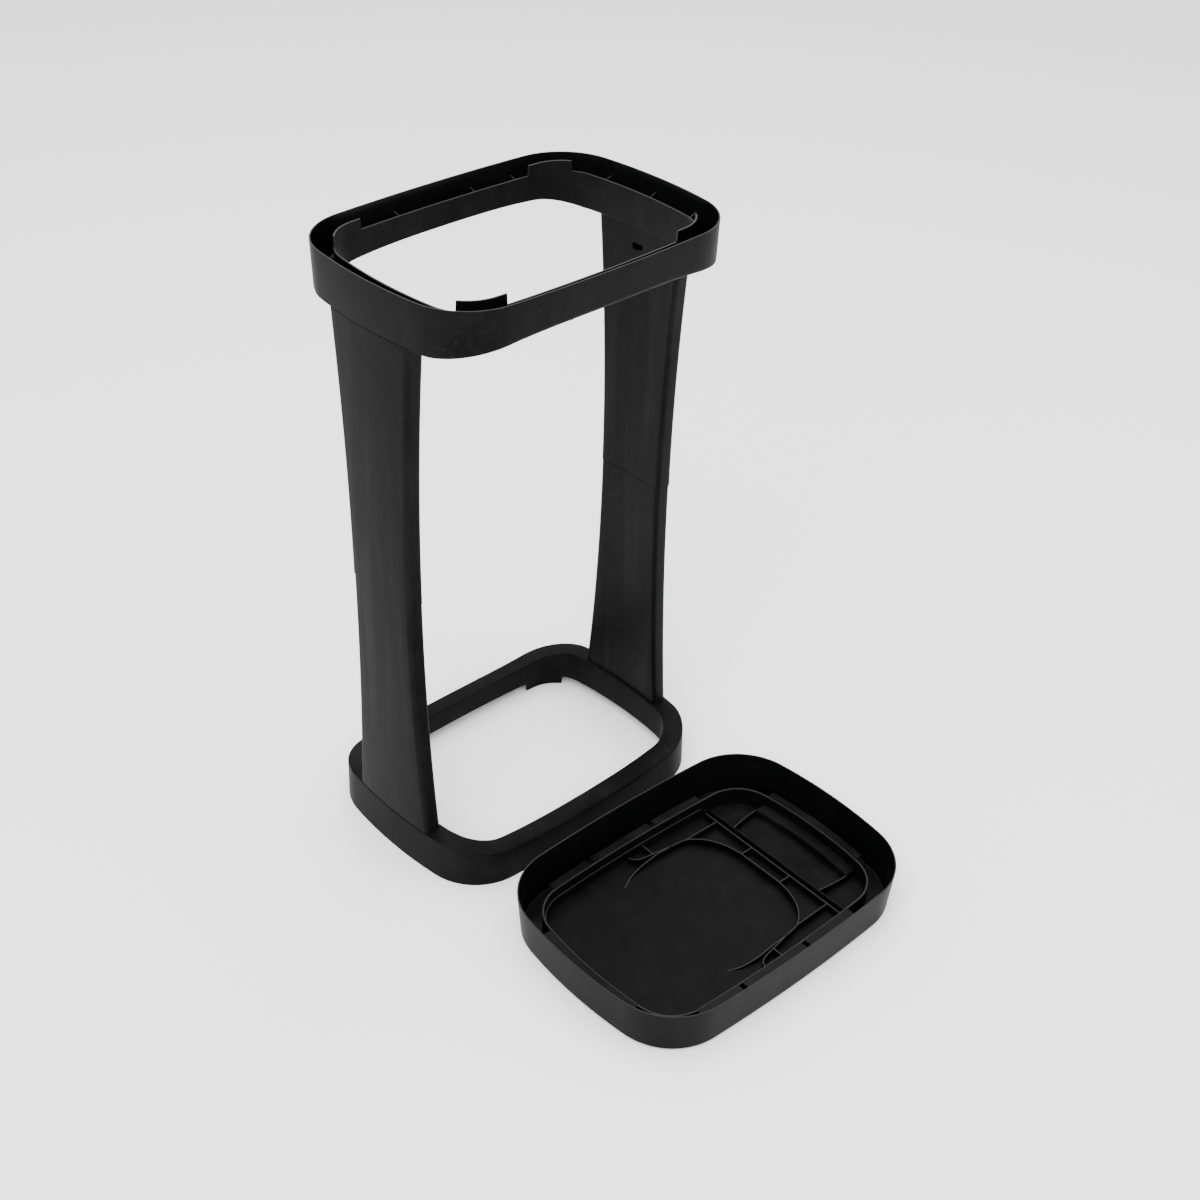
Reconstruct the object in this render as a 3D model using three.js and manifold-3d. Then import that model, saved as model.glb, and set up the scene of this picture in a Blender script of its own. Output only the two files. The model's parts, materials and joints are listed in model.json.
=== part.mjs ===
// A stand that holds a refuse sack open, with its lid lying upside down on the floor beside it.
// Two identical channel rings are joined by two waisted legs, and each leg is two identical halves.
// Millimetres, +Z up. The stand's long side runs along X, and the lid lies on its -Y side.
import * as THREE from 'three';
import { ParametricGeometry } from 'three/addons/geometries/ParametricGeometry.js';
import { mergeVertices } from 'three/addons/utils/BufferGeometryUtils.js';
import Module from 'manifold-3d';

const wasm = await Module();
wasm.setup();

// ---- driving dimensions ----

// The stand as a whole.
const STAND_HEIGHT = 733;
const RING_LENGTH = 400;
const RING_WIDTH = 286;
const CORNER_RADIUS = 72;
const LONG_CROWN = 3.7; // how far a long side bows out between its corners
const SHORT_CROWN = 4.4;

// A ring: an open channel whose closed face sweeps up from the ends to the long sides.
const RING_WALL = 2.2;
const RING_END_HEIGHT = 53.5;
const RING_SIDE_HEIGHT = 40;
const RING_SWEEP_POWER = 3.4;
const RING_FLAT_END = 8; // length at each end where the closed face stays level for the legs
const RING_CHANNEL = 26; // rim's outer face to the inner wall's inner face
const RING_DRAFT = 1.2;
const RING_END_ROUND = 1.2;
const RING_SIDE_ROUND = 6;
const INNER_WALL_DROP = 12.5; // inner wall's top edge below the rim
const TAB_DROP = 0.8; // a corner tab's top below the rim
const TAB_FROM = 114; // a tab's two ends, measured along X from the middle
const TAB_TO = 160;
const RIB_THICKNESS = 1.6;
const RIB_DROP = 15; // a channel rib's top below the rim
const LONG_RIB_PLACES = [-108, -52, 52, 108];
const SHORT_RIB_PLACES = [-66, 0, 66];

// A leg half: a hollow, waisted sleeve.
const LEG_END_WIDTH = 128;
const LEG_WAIST_WIDTH = 98;
const LEG_DEPTH = 21;
const LEG_WALL = 2.4;
const LEG_EDGE_RADIUS = 5.5;
const LEG_FACE_SINK = 1.6; // leg's outer face behind the ring's outer rim
const SEAM_GAP = 0.5;
const WINDOW_WIDTH = 16;
const WINDOW_HEIGHT = 8;
const WINDOW_FROM_END = 23;
const PLUG_LENGTH = 34;
const PLUG_CLEARANCE = 0.5;
const PLUG_WALL = 2.4;
const TONGUE_LENGTH = 30;

// The lid, measured upwards from its outer face as it lies upside down.
const LID_OVERHANG = 7.5; // lid's rim outside the ring's rim
const LID_SKIRT_HEIGHT = 55.5;
const LID_DRAFT = 4;
const LID_WALL = 2.2;
const LID_ROUND = 4;
const LID_PANEL_STEP = 1; // flap and rear panel stand this far proud of the lid's flange
const LID_WALL_CLEARANCE = 0.5; // lid's inner wall outside the ring's inner wall
const LID_INNER_WALL_TOP = 25.5;
const LEDGE_WIDTH = 10;
const LEDGE_THICKNESS = 2;
const LONG_LEDGES = [[-130, -71], [-65, 27], [33, 106]];
const SHORT_LEDGES = [[-72, 72]];
const REAR_BOX_HALF_WIDTH = 74; // the ribbed box behind the hinge
const REAR_SHELF_INSET = 38;
const REAR_SHELF_TOP = 12;
const LID_SIDE_GAP = 33.5; // clear floor between the stand and the lid
const LID_SHIFT = 3; // how far the lid lies along X from the stand's middle
const LID_TURN = -1.5; // degrees

// The flap and its hinge.
const HINGE_X = 109.5;
const BARREL_RADIUS = 3;
const PIN_RADIUS = 1.6;
const PIN_LENGTH = 3;
const PIN_CLEARANCE = 0.3;
const BOSS_LENGTH = 4.5; // a hinge boss's reach in from the lid's inner wall
const BOSS_HALF = 5;
const FLAP_GAP = 0.8;
const FLAP_THICKNESS = 2.2;
const FLAP_RIB = 1.6;
const FLAP_RIB_TOP = 11;
const FLAP_RIM_TOP = 15;
const HINGE_RIB_OFFSET = 3.4;
const SIDE_RIB_Y = 90;
const CROSS_RIB_Y = 31;
const BOW_RIB_X = 89;
const BOW_SHOULDER_X = 58; // where the bowed rib leaves its corner for the side
const BOW_SHOULDER_Y = 92;
const BOW_CORNER_EASE = 6; // how far the bow's corner is pulled in from square
const BOW_TIP_X = -18;
const BOW_HOOK = 16; // length of the turned-out end of the bow
const GRIP_X = -141;
const GRIP_HALF_WIDTH = 71;
const GRIP_RADIUS = 25;
const GRIP_DEPTH = 1.4;

const CLEAR = 0.4;
const SINK = 1; // how deep a feature's root runs into what it grows from
const REACH = 400; // longer than anything that a cutter has to pass

// ---- solids ----

// A closed three.js geometry as a solid, with its faces turned outwards.
function solid(geometry) {
  const bare = geometry.index ? geometry.clone() : geometry;
  bare.deleteAttribute('normal');
  bare.deleteAttribute('uv');
  const merged = mergeVertices(bare, 1e-3);
  const points = merged.getAttribute('position').array;
  const corner = (i) => new THREE.Vector3().fromArray(points, 3 * i);
  const faces = [];
  let volume = 0;
  for (let i = 0; i < merged.index.count; i += 3) {
    const [a, b, c] = [0, 1, 2].map((k) => merged.index.getX(i + k));
    if (a === b || b === c || c === a) continue;
    faces.push([a, b, c]);
    volume += corner(a).dot(corner(b).cross(corner(c)));
  }
  const turned = volume < 0 ? faces.map(([a, b, c]) => [a, c, b]) : faces;
  const triVerts = Uint32Array.from(turned.flat());
  return new wasm.Manifold(new wasm.Mesh({ numProp: 3, vertProperties: points, triVerts }));
}

function block(x0, x1, y0, y1, z0, z1) {
  const geometry = new THREE.BoxGeometry(x1 - x0, y1 - y0, z1 - z0);
  return solid(geometry.translate((x0 + x1) / 2, (y0 + y1) / 2, (z0 + z1) / 2));
}

function prism(points, z0, z1) {
  const shape = new THREE.Shape(points);
  const geometry = new THREE.ExtrudeGeometry(shape, { depth: z1 - z0, bevelEnabled: false });
  return solid(geometry.translate(0, 0, z0));
}

// A thin wall standing along a line of points.
function wallAlong(points, thickness, z0, z1) {
  const sides = [1, -1].map((side) => points.map((point, i) => {
    const before = points[Math.max(i - 1, 0)];
    const after = points[Math.min(i + 1, points.length - 1)];
    const along = after.clone().sub(before).normalize();
    return new THREE.Vector2(-along.y, along.x).multiplyScalar(side * thickness / 2).add(point);
  }));
  return prism([...sides[0], ...sides[1].reverse()], z0, z1);
}

function join(solids) {
  return solids.reduce((sum, next) => sum.add(next));
}

function plastic(color, roughness) {
  return new THREE.MeshStandardMaterial({ color, roughness, metalness: 0 });
}

function node(name, body, material) {
  const { vertProperties, triVerts } = body.getMesh();
  const geometry = new THREE.BufferGeometry();
  geometry.setAttribute('position', new THREE.BufferAttribute(new Float32Array(vertProperties), 3));
  geometry.setIndex(new THREE.BufferAttribute(new Uint32Array(triVerts), 1));
  const mesh = new THREE.Mesh(geometry, material);
  mesh.name = name;
  return mesh;
}

// ---- the shared outline ----

// Radius of an arc that rises by crown over a chord of twice halfChord.
function crownRadius(halfChord, crown) {
  return (halfChord ** 2 + crown ** 2) / (2 * crown);
}

const HALF_LENGTH = RING_LENGTH / 2;
const HALF_WIDTH = RING_WIDTH / 2;
const LONG_RADIUS = crownRadius(HALF_LENGTH - CORNER_RADIUS, LONG_CROWN);
const SHORT_RADIUS = crownRadius(HALF_WIDTH - CORNER_RADIUS, SHORT_CROWN);

// Stations round the rim, each with its place and outward normal: in every quarter a short side's
// arc, a corner's arc and a long side's arc meet tangentially.
function rimStations() {
  const longCentre = new THREE.Vector2(0, HALF_WIDTH - LONG_RADIUS);
  const shortCentre = new THREE.Vector2(HALF_LENGTH - SHORT_RADIUS, 0);
  const between = shortCentre.clone().sub(longCentre);
  const span = between.length();
  const toLong = LONG_RADIUS - CORNER_RADIUS;
  const toShort = SHORT_RADIUS - CORNER_RADIUS;
  const along = (toLong ** 2 - toShort ** 2 + span ** 2) / (2 * span);
  const aside = Math.sqrt(toLong ** 2 - along ** 2);
  between.normalize();
  const cornerCentre = longCentre.clone().addScaledVector(between, along)
    .addScaledVector(new THREE.Vector2(between.y, -between.x), aside);
  const shortEnd = cornerCentre.clone().sub(shortCentre).angle();
  const longStart = cornerCentre.clone().sub(longCentre).angle();
  const arcs = [
    { centre: shortCentre, radius: SHORT_RADIUS, from: 0, to: shortEnd, steps: 3 },
    { centre: cornerCentre, radius: CORNER_RADIUS, from: shortEnd, to: longStart, steps: 7 },
    { centre: longCentre, radius: LONG_RADIUS, from: longStart, to: Math.PI / 2, steps: 4 },
  ];
  const quarter = arcs.flatMap(({ centre, radius, from, to, steps }) => {
    return Array.from({ length: steps }, (_, i) => {
      const angle = THREE.MathUtils.lerp(from, to, i / steps);
      const normal = new THREE.Vector2(Math.cos(angle), Math.sin(angle));
      return { point: normal.clone().multiplyScalar(radius).add(centre), normal };
    });
  });
  quarter.push({ point: new THREE.Vector2(0, HALF_WIDTH), normal: new THREE.Vector2(0, 1) });
  const mirror = ({ point, normal }, x, y) => {
    const sign = new THREE.Vector2(x, y);
    return { point: point.clone().multiply(sign), normal: normal.clone().multiply(sign) };
  };
  const back = quarter.slice().reverse();
  return [
    ...quarter.slice(0, -1).map((s) => mirror(s, 1, 1)),
    ...back.slice(0, -1).map((s) => mirror(s, -1, 1)),
    ...quarter.slice(0, -1).map((s) => mirror(s, -1, -1)),
    ...back.slice(0, -1).map((s) => mirror(s, 1, -1)),
  ];
}

const STATIONS = rimStations();

function insetPoint({ point, normal }, inset) {
  return point.clone().addScaledVector(normal, -inset);
}

// A closed band round the outline. section(station) lists its corners as [inset, z].
function band(section) {
  const rows = STATIONS.map((station) => section(station).map(([inset, z]) => {
    const { x, y } = insetPoint(station, inset);
    return [x, y, z];
  }));
  const corners = rows[0].length;
  const pick = (u, v, target) => {
    const row = rows[Math.round(u * rows.length) % rows.length];
    target.set(...row[Math.round(v * corners) % corners]);
  };
  return solid(new ParametricGeometry(pick, rows.length, corners));
}

function plate(inset, z0, z1) {
  return prism(STATIONS.map((station) => insetPoint(station, inset)), z0, z1);
}

// Half the width of the outline, at an inset and a place along X on a long side.
function halfWidthAt(x, inset) {
  return HALF_WIDTH - LONG_RADIUS + Math.sqrt((LONG_RADIUS - inset) ** 2 - x ** 2);
}

// Corners of a quarter round from a wall face to a closed face, as [inset, z].
function roundEdge(inset, z, radius, turn) {
  return [0, 1, 2, 3].map((i) => {
    const angle = i * Math.PI / 6;
    return [inset + radius * (1 - Math.cos(angle)), z + turn * radius * (1 - Math.sin(angle))];
  });
}

// ---- rings ----

// How far a place along X has swept from a long side (0) to an end (1).
function sweep(x) {
  return Math.min(1, Math.abs(x) / (HALF_LENGTH - RING_FLAT_END)) ** RING_SWEEP_POWER;
}

function ringHeight(x) {
  return THREE.MathUtils.lerp(RING_SIDE_HEIGHT, RING_END_HEIGHT, sweep(x));
}

// A ring with its rim in the plane z = 0 and its closed face below.
function ringBody() {
  const innerFace = RING_CHANNEL;
  const innerBack = RING_CHANNEL - RING_WALL;
  const channel = band(({ point }) => {
    const floor = -ringHeight(point.x);
    const round = THREE.MathUtils.lerp(RING_SIDE_ROUND, RING_END_ROUND, sweep(point.x));
    return [
      [0, 0],
      ...roundEdge(RING_DRAFT, floor, round, 1),
      [innerFace, floor],
      [innerFace, -TAB_DROP],
      [innerBack, -TAB_DROP],
      [innerBack, floor + RING_WALL],
      [RING_DRAFT + round + RING_WALL / 2, floor + RING_WALL],
      [RING_DRAFT + RING_WALL, floor + RING_WALL + round / 2],
      [RING_WALL, 0],
    ];
  });
  const overWall = band(() => [
    [innerBack - 1, -INNER_WALL_DROP], [innerFace + 1, -INNER_WALL_DROP],
    [innerFace + 1, 1], [innerBack - 1, 1],
  ]);
  const corners = [[TAB_FROM, TAB_TO], [-TAB_TO, -TAB_FROM]].map(([x0, x1]) => {
    return block(x0, x1, -REACH, REACH, -REACH, REACH);
  });
  const notches = overWall.subtract(join(corners));
  const acrossChannel = [RING_WALL / 2 + RING_DRAFT, innerBack + RING_WALL / 2];
  const longRibs = LONG_RIB_PLACES.flatMap((x) => [1, -1].map((side) => {
    const [y0, y1] = acrossChannel.map((inset) => side * halfWidthAt(x, inset)).sort((a, b) => a - b);
    const floor = -ringHeight(x) + RING_WALL / 2;
    return block(x - RIB_THICKNESS / 2, x + RIB_THICKNESS / 2, y0, y1, floor, -RIB_DROP);
  }));
  const shortRibs = SHORT_RIB_PLACES.flatMap((y) => [1, -1].map((side) => {
    const bow = endFace(y) - HALF_LENGTH;
    const [x0, x1] = acrossChannel.map((inset) => side * (HALF_LENGTH + bow - inset))
      .sort((a, b) => a - b);
    const floor = -RING_END_HEIGHT + RING_WALL / 2;
    return block(x0, x1, y - RIB_THICKNESS / 2, y + RIB_THICKNESS / 2, floor, -RIB_DROP);
  }));
  const plugs = [0, Math.PI].map((turn) => plug().rotate([0, 0, THREE.MathUtils.radToDeg(turn)]));
  return join([channel.subtract(notches), ...longRibs, ...shortRibs, ...plugs]);
}

// The hollow plug on a ring's closed face that a leg pushes over, with its snap nib.
function plug() {
  const gap = LEG_WALL + PLUG_CLEARANCE;
  const root = -RING_WALL / 2;
  const place = (body) => body.rotate([180, 0, 0]).translate([0, 0, -RING_END_HEIGHT]);
  const shell = legSolid(gap, root, PLUG_LENGTH).subtract(
    legSolid(gap + PLUG_WALL, RING_WALL, PLUG_LENGTH + 1),
  );
  const innerFace = HALF_LENGTH - LEG_FACE_SINK - LEG_DEPTH + gap;
  const nibWidth = WINDOW_WIDTH / 2 - CLEAR;
  const nibHeight = WINDOW_HEIGHT / 2 - CLEAR;
  const seat = WINDOW_FROM_END + SEAM_GAP;
  const nib = block(innerFace - LEG_WALL / 2 - PLUG_CLEARANCE, innerFace + PLUG_WALL / 2,
    -nibWidth, nibWidth, seat - nibHeight, seat + nibHeight);
  return place(shell.add(nib));
}

// ---- legs ----

const LEG_LENGTH = STAND_HEIGHT / 2 - RING_END_HEIGHT - SEAM_GAP * 1.5;

// X of the outline's short side at a place along Y.
function endFace(y) {
  return HALF_LENGTH - SHORT_RADIUS + Math.sqrt(SHORT_RADIUS ** 2 - y ** 2);
}

function legHalfWidth(z) {
  const toWaist = 1 - z / LEG_LENGTH;
  return LEG_WAIST_WIDTH / 2 + (LEG_END_WIDTH - LEG_WAIST_WIDTH) / 2 * toWaist ** 2;
}

// A solid of the leg's outline drawn in by an inset, from its wide end at z = 0 towards the waist.
// The +X leg's: its outer face follows the ring's short side.
function legSolid(inset, z0, z1) {
  const half = LEG_END_WIDTH / 2 - inset;
  const radius = Math.max(LEG_EDGE_RADIUS - inset, 0.8);
  const outer = inset;
  const inner = LEG_DEPTH - inset;
  const shape = new THREE.Shape();
  const rows = 4;
  const along = (i) => THREE.MathUtils.lerp(-half + radius, half - radius, i / rows);
  shape.moveTo(outer, along(0));
  for (let i = 1; i <= rows; i++) shape.lineTo(outer, along(i));
  shape.absarc(outer + radius, half - radius, radius, Math.PI, Math.PI / 2, true);
  shape.absarc(inner - radius, half - radius, radius, Math.PI / 2, 0, true);
  for (let i = 1; i <= rows; i++) shape.lineTo(inner, -along(i));
  shape.absarc(inner - radius, -half + radius, radius, 0, -Math.PI / 2, true);
  shape.absarc(outer + radius, -half + radius, radius, -Math.PI / 2, -Math.PI, true);
  const steps = Math.max(1, Math.round((z1 - z0) / 45));
  const geometry = new THREE.ExtrudeGeometry(shape, {
    depth: z1 - z0, steps, bevelEnabled: false, curveSegments: 2,
  });
  const position = geometry.getAttribute('position');
  for (let i = 0; i < position.count; i++) {
    const z = position.getZ(i) + z0;
    const y = position.getY(i) * (legHalfWidth(z) - inset) / half;
    position.setXYZ(i, endFace(y) - LEG_FACE_SINK - position.getX(i), y, z);
  }
  return solid(geometry);
}

// A leg half standing on its wide end. Half of its waist carries a tongue, so that an identical
// half turned end over end fits it.
function legHalf() {
  const sleeve = legSolid(0, 0, LEG_LENGTH).subtract(legSolid(LEG_WALL, -1, LEG_LENGTH + 1));
  const tongueInset = LEG_WALL + PLUG_CLEARANCE;
  const reach = LEG_LENGTH + TONGUE_LENGTH;
  const root = LEG_LENGTH - TONGUE_LENGTH / 2;
  const tongue = legSolid(tongueInset, root, reach)
    .add(legSolid(LEG_WALL / 2, root, LEG_LENGTH - SEAM_GAP))
    .subtract(legSolid(tongueInset + PLUG_WALL, root - 1, reach + 1))
    .intersect(block(0, REACH, 1, REACH, root - 1, reach + 1));
  const innerFace = HALF_LENGTH - LEG_FACE_SINK - LEG_DEPTH;
  const window = block(innerFace - LEG_WALL, innerFace + LEG_WALL * 1.5,
    -WINDOW_WIDTH / 2, WINDOW_WIDTH / 2,
    WINDOW_FROM_END - WINDOW_HEIGHT / 2, WINDOW_FROM_END + WINDOW_HEIGHT / 2);
  return sleeve.add(tongue).subtract(window);
}

// ---- lid ----

// Insets of the inner wall's two faces: it goes into the ring's channel, round its inner wall.
const LID_INNER_BACK = RING_CHANNEL - RING_WALL - LID_WALL_CLEARANCE;
const LID_INNER_FACE = LID_INNER_BACK - LID_WALL;
const LID_RIM = LID_PANEL_STEP + LID_SKIRT_HEIGHT;
const HINGE_Z = BARREL_RADIUS;
const BOSS_INNER = halfWidthAt(HINGE_X, LID_INNER_BACK) - BOSS_LENGTH;

function lidFrame() {
  const flange = LID_PANEL_STEP;
  const low = -LID_OVERHANG + LID_DRAFT;
  const shell = band(() => [
    [-LID_OVERHANG, LID_RIM],
    ...roundEdge(low, flange, LID_ROUND, 1),
    [LID_INNER_FACE - LID_WALL, flange],
    [LID_INNER_FACE, 0],
    [LID_INNER_BACK, 0],
    [LID_INNER_BACK, LID_INNER_WALL_TOP],
    [LID_INNER_FACE, LID_INNER_WALL_TOP],
    [LID_INNER_FACE, flange + LID_WALL],
    [low + LID_ROUND, flange + LID_WALL],
    [low + LID_WALL, flange + LID_ROUND],
    [-LID_OVERHANG + LID_WALL, LID_RIM],
  ]);
  const ledgeTop = LID_INNER_WALL_TOP - LEDGE_THICKNESS;
  const ledgeRing = band(() => [
    [LID_INNER_FACE - LEDGE_WIDTH, ledgeTop], [LID_INNER_FACE + LID_WALL / 2, ledgeTop],
    [LID_INNER_FACE + LID_WALL / 2, LID_INNER_WALL_TOP],
    [LID_INNER_FACE - LEDGE_WIDTH, LID_INNER_WALL_TOP],
  ]);
  const ledgeSpans = join([
    ...LONG_LEDGES.map(([x0, x1]) => block(x0, x1, -REACH, REACH, 0, REACH)),
    ...SHORT_LEDGES.map(([y0, y1]) => block(-REACH, REACH, y0, y1, 0, REACH)),
  ]);
  const rearEdge = HINGE_X + BARREL_RADIUS + FLAP_GAP;
  const rearPanel = plate(LID_INNER_BACK - SINK, 0, FLAP_THICKNESS)
    .intersect(block(rearEdge, REACH, -REACH, REACH, -1, REACH));
  const shelfTop = REAR_SHELF_TOP;
  const shelf = band(() => [
    [LID_INNER_FACE + SINK, shelfTop - FLAP_RIB],
    [REAR_SHELF_INSET - FLAP_RIB, shelfTop - FLAP_RIB],
    [REAR_SHELF_INSET - FLAP_RIB, FLAP_THICKNESS / 2],
    [REAR_SHELF_INSET, FLAP_THICKNESS / 2],
    [REAR_SHELF_INSET, shelfTop],
    [LID_INNER_FACE + SINK, shelfTop],
  ]).intersect(block(rearEdge, REACH, -REAR_BOX_HALF_WIDTH, REAR_BOX_HALF_WIDTH, 0, REACH));
  const shelfEnd = endFace(REAR_BOX_HALF_WIDTH) - REAR_SHELF_INSET;
  const boxSides = [-REAR_BOX_HALF_WIDTH, REAR_BOX_HALF_WIDTH].map((y) => {
    const line = [new THREE.Vector2(rearEdge, y), new THREE.Vector2(shelfEnd, y)];
    return wallAlong(line, FLAP_RIB, FLAP_THICKNESS / 2, FLAP_RIB_TOP);
  });
  const ribHalf = halfWidthAt(rearEdge, LID_INNER_BACK) + SINK;
  const hingeRib = block(rearEdge, rearEdge + FLAP_RIB, -ribHalf, ribHalf, 0, FLAP_RIB_TOP);
  const bosses = [[BOSS_INNER, ribHalf], [-ribHalf, -BOSS_INNER]].map(([y0, y1]) => {
    return block(HINGE_X - BOSS_HALF, rearEdge + FLAP_RIB, y0, y1, 0, FLAP_RIB_TOP);
  });
  const bores = pinPair(PIN_RADIUS + PIN_CLEARANCE, PIN_LENGTH + CLEAR);
  const ledges = ledgeRing.intersect(ledgeSpans);
  return join([shell, ledges, rearPanel, shelf, ...boxSides, hingeRib, ...bosses]).subtract(bores);
}

// ---- flap ----

const BARREL_HALF = BOSS_INNER - FLAP_GAP;

function barrel(radius, half) {
  const geometry = new THREE.CylinderGeometry(radius, radius, half * 2, 16);
  return solid(geometry.rotateY(Math.PI / 16)).translate([HINGE_X, 0, HINGE_Z]);
}

// Both hinge pins, or the bores they turn in.
function pinPair(radius, length) {
  return barrel(radius, BARREL_HALF + length + FLAP_GAP)
    .subtract(block(0, REACH, -BARREL_HALF + SINK, BARREL_HALF - SINK, -REACH, REACH));
}

// Centre line of the bowed rib: across the flap near the hinge, round two corners, and back along
// each side to a tip that turns outwards.
function bowLine(edge) {
  const line = new THREE.Path();
  line.moveTo(BOW_TIP_X, halfWidthAt(BOW_TIP_X, edge) - FLAP_RIB);
  line.quadraticCurveTo(BOW_TIP_X + FLAP_RIB, BOW_SHOULDER_Y + BOW_HOOK / 2,
    BOW_TIP_X + BOW_HOOK, BOW_SHOULDER_Y + BOW_HOOK / 2);
  line.lineTo(BOW_SHOULDER_X, BOW_SHOULDER_Y);
  line.quadraticCurveTo(BOW_RIB_X - BOW_CORNER_EASE, BOW_SHOULDER_Y - BOW_CORNER_EASE,
    BOW_RIB_X, CROSS_RIB_Y);
  return line.getPoints(5);
}

function flapBody() {
  const edge = LID_INNER_BACK + FLAP_GAP;
  const front = block(-REACH, HINGE_X, -REACH, REACH, -1, REACH);
  const panel = plate(edge, 0, FLAP_THICKNESS).intersect(front);
  const rim = band(() => [
    [edge, 0], [edge + FLAP_RIB, 0], [edge + FLAP_RIB, FLAP_RIM_TOP], [edge, FLAP_RIM_TOP],
  ]).intersect(front);
  const bossSide = halfWidthAt(0, edge) + SINK;
  const aroundBosses = [[BARREL_HALF, bossSide], [-bossSide, -BARREL_HALF]].map(([y0, y1]) => {
    return block(HINGE_X - BOSS_HALF - FLAP_GAP, REACH, y0, y1, -1, REACH);
  });
  const foot = FLAP_THICKNESS / 2;
  const half = bowLine(edge);
  const bow = [...half, ...half.map(({ x, y }) => new THREE.Vector2(x, -y)).reverse()];
  const ribX = HINGE_X - HINGE_RIB_OFFSET;
  const ribHalf = halfWidthAt(ribX, edge) - FLAP_RIB / 2;
  const rib = (x0, y0, x1, y1) => wallAlong([new THREE.Vector2(x0, y0), new THREE.Vector2(x1, y1)],
    FLAP_RIB, foot, FLAP_RIB_TOP);
  const ribs = [
    wallAlong(bow, FLAP_RIB, foot, FLAP_RIB_TOP),
    rib(ribX, -ribHalf, ribX, ribHalf),
    ...[-CROSS_RIB_Y, CROSS_RIB_Y].map((y) => rib(BOW_RIB_X, y, ribX, y)),
    ...[-1, 1].map((side) => rib(BOW_SHOULDER_X, side * BOW_SHOULDER_Y, ribX, side * SIDE_RIB_Y)),
  ];
  const grip = [];
  const corner = GRIP_X - GRIP_RADIUS;
  for (const side of [1, -1]) {
    const arc = new THREE.Path();
    arc.absarc(corner, GRIP_HALF_WIDTH - GRIP_RADIUS, GRIP_RADIUS, Math.PI / 2, 0, true);
    const points = arc.getPoints(6).map(({ x, y }) => new THREE.Vector2(x, side * y));
    grip.push(...(side > 0 ? points : points.reverse()));
  }
  const ends = [-GRIP_HALF_WIDTH, GRIP_HALF_WIDTH].map((y) => new THREE.Vector2(-REACH, y));
  const gripShape = [...grip, ...ends];
  const inside = plate(edge + FLAP_RIB, -1, REACH);
  const gripPad = prism(gripShape, foot, FLAP_THICKNESS + GRIP_DEPTH).intersect(inside);
  const gripDish = prism(gripShape, -1, GRIP_DEPTH).intersect(plate(edge + 2 * FLAP_RIB, -1, REACH));
  const bar = barrel(BARREL_RADIUS, BARREL_HALF);
  const pins = pinPair(PIN_RADIUS, PIN_LENGTH);
  const body = join([panel, rim, ...ribs, gripPad]).subtract(gripDish).subtract(join(aroundBosses));
  return join([body, bar, pins]);
}

// ---- assembly ----

const BLACK = 0x1b1b1c;
const satin = plastic(BLACK, 0.5);
const moulded = plastic(BLACK, 0.6);

const layout = new THREE.Group();
const ring = ringBody();

const topRing = node('top_ring', ring, moulded);
topRing.position.z = STAND_HEIGHT;
layout.add(topRing);

const baseRing = node('base_ring', ring, moulded);
baseRing.rotation.x = Math.PI;
layout.add(baseRing);

const half = legHalf();
for (const [side, turn] of [['right', 0], ['left', Math.PI]]) {
  const leg = new THREE.Group();
  leg.rotation.z = turn;
  const lower = node(`${side}_leg_lower`, half, satin);
  lower.position.z = RING_END_HEIGHT + SEAM_GAP;
  const upper = node(`${side}_leg_upper`, half, satin);
  upper.rotation.x = Math.PI;
  upper.position.z = STAND_HEIGHT - RING_END_HEIGHT - SEAM_GAP;
  leg.add(lower, upper);
  layout.add(leg);
}

const lid = new THREE.Group();
lid.add(node('lid_frame', lidFrame(), moulded));
lid.add(node('lid_flap', flapBody(), moulded));
lid.rotation.z = THREE.MathUtils.degToRad(LID_TURN);
lid.position.x = LID_SHIFT;
lid.position.y = -(HALF_WIDTH + LID_SIDE_GAP + HALF_WIDTH + LID_OVERHANG);
layout.add(lid);

// The origin is on the floor, at the middle of the box round the stand and the lid together.
layout.updateMatrixWorld(true);
const middle = new THREE.Box3().setFromObject(layout, true).getCenter(new THREE.Vector3());
layout.position.set(-middle.x, -middle.y, 0);

export default layout;
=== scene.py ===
"""A refuse sack stand, with its lid lying upside down beside it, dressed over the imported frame."""

import json
import logging
import math
from collections.abc import Sequence
from dataclasses import dataclass, field
from enum import Enum

import bmesh
import bpy
from bmesh.types import BMesh
from mathutils import Matrix, Vector


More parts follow.
